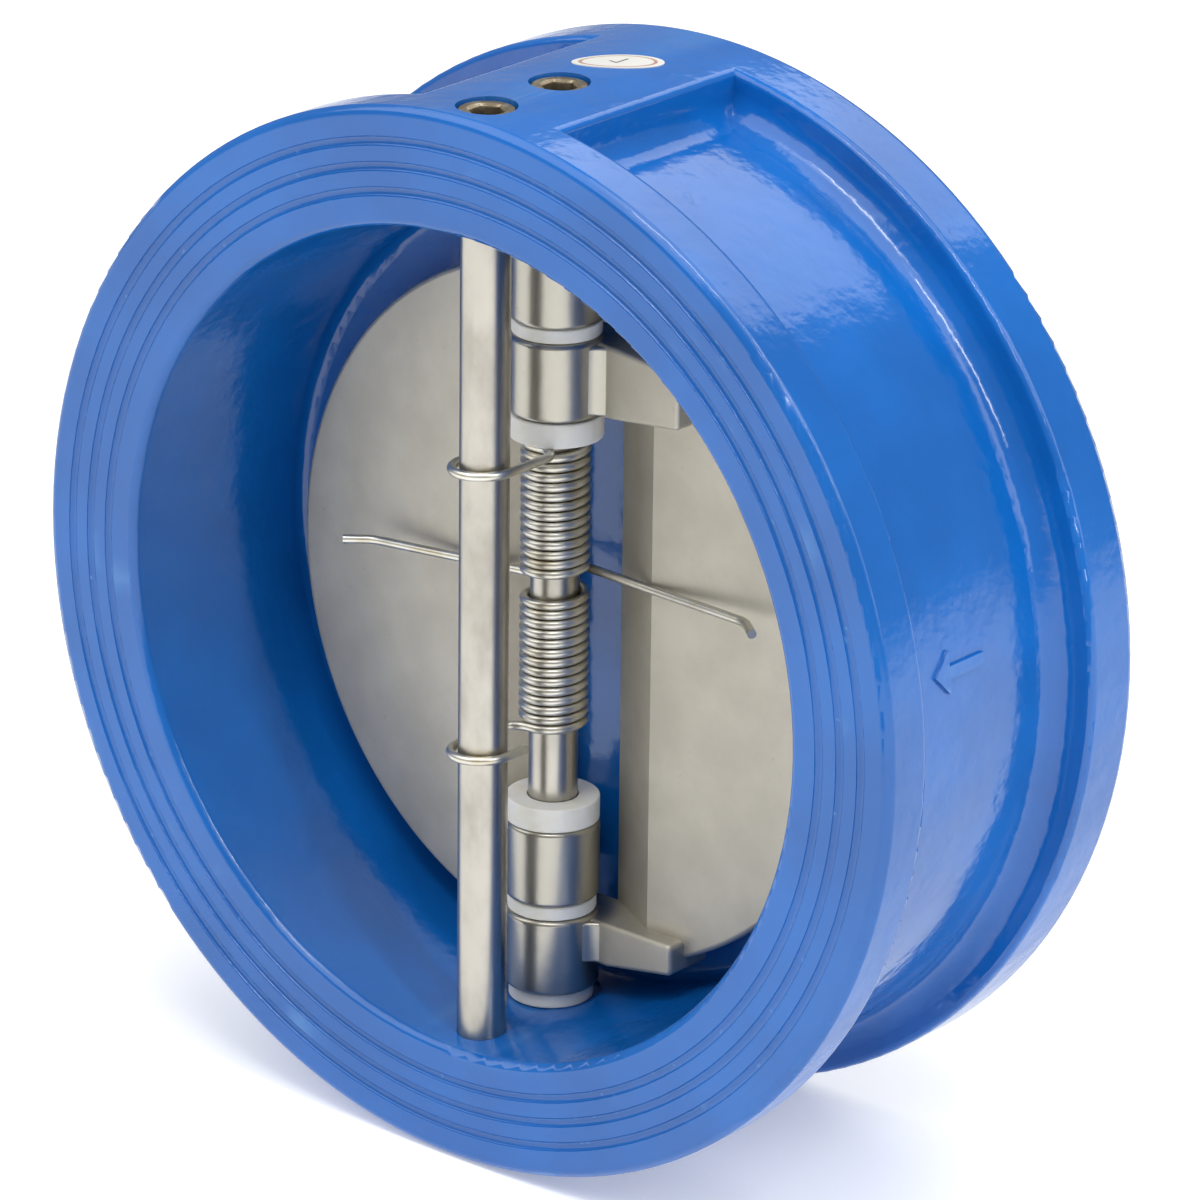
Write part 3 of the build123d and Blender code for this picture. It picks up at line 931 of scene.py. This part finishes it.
@dataclass
class ScrewPlug:
    """A taper-thread plug with a hexagon socket, screwed in over one pin."""

    node: str
    pitch: float = 0.907 * MM
    thread_depth: float = 0.42 * MM
    thread_turns: float = 6.5
    thread_start: float = 0.9 * MM
    crest_share: float = 0.95
    land_clearance: float = 0.06 * MM
    socket_across_flats: float = 5 * MM
    socket_depth: float = 4 * MM
    socket_lead: float = 0.35 * MM
    rim_chamfer: float = 0.5 * MM
    sides: int = 96

    def _ring(
        self, mesh: bmesh.types.BMesh, centre: Vector, radius: float, z: float, hexagon: bool
    ) -> list[bmesh.types.BMVert]:
        """A ring of points, round or on a hexagon, at one level."""
        ring = []
        for i in range(self.sides):
            angle = 2 * math.pi * i / self.sides
            reach = radius
            if hexagon:
                off = (angle + math.pi / 6) % (math.pi / 3) - math.pi / 6
                reach = radius / math.cos(off)
            ring.append(
                mesh.verts.new(
                    (centre.x + reach * math.cos(angle), centre.y + reach * math.sin(angle), z)
                )
            )
        return ring

    def _core(self, centre: Vector, low: float, high: float, radius: float) -> bpy.types.Mesh:
        """The plug without its thread: turned core, chamfered rim and broached socket."""
        root = radius - self.thread_depth
        across = self.socket_across_flats / 2
        floor = high - self.socket_depth
        mesh = bmesh.new()
        levels = (
            (root - self.rim_chamfer, low, False),
            (root, low + self.rim_chamfer, False),
            (root, high - 1.1 * self.pitch, False),
            (radius - self.land_clearance, high - 0.8 * self.pitch, False),
            (radius - self.land_clearance, high - self.rim_chamfer * 0.6, False),
            (radius - self.rim_chamfer, high, False),
            (across + self.socket_lead + 0.42 * MM, high, False),
            (across + 0.04 * MM, high - self.socket_lead, True),
            (across, high - self.socket_lead * 1.6, True),
            (across, floor, True),
            (across * 0.9, floor - 0.1 * MM, True),
            (0.3 * MM, floor - 0.9 * MM, False),
        )
        rings = [self._ring(mesh, centre, r, z, hexagon) for r, z, hexagon in levels]
        for lower, upper in zip(rings, rings[1:]):
            for i in range(self.sides):
                j = (i + 1) % self.sides
                mesh.faces.new((lower[i], lower[j], upper[j], upper[i]))
        mesh.faces.new(list(reversed(rings[0])))
        mesh.faces.new(rings[-1])
        bmesh.ops.recalc_face_normals(mesh, faces=mesh.faces)
        made = bpy.data.meshes.new(self.node + "_core")
        mesh.to_mesh(made)
        mesh.free()
        return made

    def _graph(self) -> GeometryGraph:
        """The tree that winds a pointed thread round a core and joins the two."""
        graph = GeometryGraph(
            "plug_thread_on_core",
            (
                ("Centre", "NodeSocketVector"),
                ("Root Radius", "NodeSocketFloat"),
                ("Depth", "NodeSocketFloat"),
                ("Turns", "NodeSocketFloat"),
                ("Height", "NodeSocketFloat"),
                ("Material", "NodeSocketMaterial"),
            ),
        )
        helix = graph.node(
            "GeometryNodeCurveSpiral",
            None,
            {
                "Resolution": 72,
                "Rotations": graph.given("Turns"),
                "Start Radius": graph.given("Root Radius"),
                "End Radius": graph.given("Root Radius"),
                "Height": graph.given("Height"),
            },
        )
        placed = graph.node(
            "GeometryNodeTransform",
            None,
            {"Geometry": helix.outputs[0], "Translation": graph.given("Centre")},
        )
        upright = graph.node(
            "GeometryNodeSetCurveNormal", {"mode": "Z_UP"}, {"Curve": placed.outputs[0]}
        )
        crest = graph.node(
            "GeometryNodeCurvePrimitiveCircle", None, {"Resolution": 4, "Radius": graph.given("Depth")}
        )
        ridge = graph.node(
            "GeometryNodeCurveToMesh",
            None,
            {"Curve": upright.outputs[0], "Profile Curve": crest.outputs[0], "Fill Caps": True},
        )
        joined = graph.node("GeometryNodeJoinGeometry")
        graph.tree.links.new(ridge.outputs[0], joined.inputs[0])
        graph.tree.links.new(graph.given("Geometry"), joined.inputs[0])
        graph.end(joined.outputs[0], graph.given("Material"))
        return graph

    def build(self) -> bpy.types.Object:
        """Makes the plug in place of its plain solid.

        Returns:
            The plug's object.
        """
        low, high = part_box(self.node)
        centre = (low + high) / 2
        radius = (high.x - low.x) / 2
        core = bpy.data.objects.new(
            self.node + "_core", self._core(centre, low.z, high.z, radius)
        )
        made = self._graph().make(
            core,
            self.node + "_threaded",
            {
                "Centre": Vector((centre.x, centre.y, low.z + self.thread_start)),
                "Root Radius": radius - self.thread_depth,
                "Depth": self.thread_depth * self.crest_share,
                "Turns": self.thread_turns,
                "Height": self.thread_turns * self.pitch,
                "Material": DullPlug(high.z, centre.y).build(),
            },
        )
        for polygon in made.data.polygons:
            polygon.use_smooth = False
        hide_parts(self.node)
        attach(made, "body")
        log.info("%s: %d faces", made.name, len(made.data.polygons))
        return made


# ---------------------------------------------------------------- studio


@dataclass
class SoftBox:
    """One rectangular soft light that faces the object."""

    azimuth: float
    elevation: float
    distance: float
    width: float
    height: float
    power: float
    tint: Colour = (1.0, 1.0, 1.0)

    def build(self, name: str) -> None:
        """Adds the light."""
        light = bpy.data.lights.new(name, "AREA")
        light.shape = "RECTANGLE"
        light.size = self.width
        light.size_y = self.height
        light.energy = self.power
        light.color = self.tint
        lamp = bpy.data.objects.new(name, light)
        away = direction(self.azimuth, self.elevation)
        lamp.location = away * self.distance
        lamp.rotation_euler = (-away).to_track_quat("-Z", "Y").to_euler()
        bpy.context.scene.collection.objects.link(lamp)


def direction(azimuth: float, elevation: float) -> Vector:
    """The unit vector from the object towards a point seen at these angles, in degrees."""
    a, e = math.radians(azimuth), math.radians(elevation)
    return Vector((math.sin(a) * math.cos(e), -math.cos(a) * math.cos(e), math.sin(e)))


@dataclass
class Studio:
    """Camera, lights, surroundings and floor."""

    azimuth: float = 40.021
    elevation: float = 20.939
    roll: float = 0.610
    distance: float = 1.12463
    focal_length: float = 211.16
    shift: tuple[float, float] = (0.01926, -0.00148)
    sky: Colour = (1.0, 1.0, 1.0)
    sky_strength: float = 0.32
    floor_radius: float = 6.0
    floor_gap: float = 0.2 * MM
    lights: dict[str, SoftBox] = field(
        default_factory=lambda: {
            "key_softbox": SoftBox(-36, 52, 1.6, 1.9, 1.4, 15),
            "top_softbox": SoftBox(80, 72, 1.3, 1.3, 1.3, 10),
            "side_softbox": SoftBox(112, 24, 1.3, 0.5, 1.0, 3.2),
            "rim_strip": SoftBox(72, 44, 1.2, 0.06, 0.7, 3.2),
            "crown_strip": SoftBox(18, 62, 1.2, 0.5, 0.06, 2),
            "rear_softbox": SoftBox(188, 47, 1.5, 1.1, 0.6, 3.6),
        }
    )

    def _camera(self) -> None:
        """Sets up the camera."""
        back = direction(self.azimuth, self.elevation)
        right = Vector((0, 0, 1)).cross(back).normalized()
        up = back.cross(right)
        turn = math.radians(self.roll)
        rolled = right * math.cos(turn) + up * math.sin(turn)
        over = up * math.cos(turn) - right * math.sin(turn)
        data = bpy.data.cameras.new("camera")
        data.sensor_width = 36.0
        data.lens = self.focal_length
        data.shift_x, data.shift_y = self.shift
        data.clip_start, data.clip_end = 0.05, 30.0
        camera = bpy.data.objects.new("camera", data)
        pose = Matrix((rolled, over, back)).transposed().to_4x4()
        pose.translation = back * self.distance
        camera.matrix_world = pose
        bpy.context.scene.collection.objects.link(camera)
        bpy.context.scene.camera = camera

    def _floor(self, level: float) -> None:
        """Adds the floor just under the object.

        Args:
            level: The height of the object's lowest point.
        """
        mesh = bmesh.new()
        bmesh.ops.create_circle(mesh, cap_ends=True, radius=self.floor_radius, segments=96)
        bmesh.ops.translate(mesh, verts=mesh.verts, vec=(0, 0, level - self.floor_gap))
        data = bpy.data.meshes.new("studio_floor")
        mesh.to_mesh(data)
        mesh.free()
        data.materials.append(PaleFloor().build())
        floor = bpy.data.objects.new("studio_floor", data)
        bpy.context.scene.collection.objects.link(floor)
        floor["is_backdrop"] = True

    def build(self, level: float) -> None:
        """Makes the whole studio.

        Args:
            level: The height of the object's lowest point.
        """
        self._camera()
        self._floor(level)
        for name, softbox in self.lights.items():
            softbox.build(name)
        world = bpy.data.worlds.new("studio")
        world.use_nodes = True
        background = world.node_tree.nodes["Background"]
        background.inputs["Color"].default_value = (*self.sky, 1.0)
        background.inputs["Strength"].default_value = self.sky_strength
        bpy.context.scene.world = world
        bpy.context.scene.view_settings.view_transform = "Standard"
        log.info("studio: %d lights", len(self.lights))


def corners(bounds: tuple[Vector, Vector]) -> list[list[float]]:
    """A box's two corners as plain lists."""
    return [list(map(float, corner)) for corner in bounds]


def main() -> None:
    """Builds every sub-assembly in order."""
    logging.basicConfig(level=logging.INFO, format="%(message)s")
    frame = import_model()
    cad_box = corners(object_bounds())
    nodes = frame["nodes"]
    Studio().build(cad_box[0][2])
    BodyCasting(nodes).build()
    PlateSet(nodes).build()
    PinStack(nodes).build()
    wire = SpringWire().build()
    TorsionSpring(Side.LEFT, "lower_spring", "left_plate").build(wire)
    TorsionSpring(Side.RIGHT, "upper_spring", "right_plate").build(wire)
    for name in ("hinge_pin_plug", "stop_pin_plug"):
        ScrewPlug(name).build()


if __name__ == "__main__":
    main()
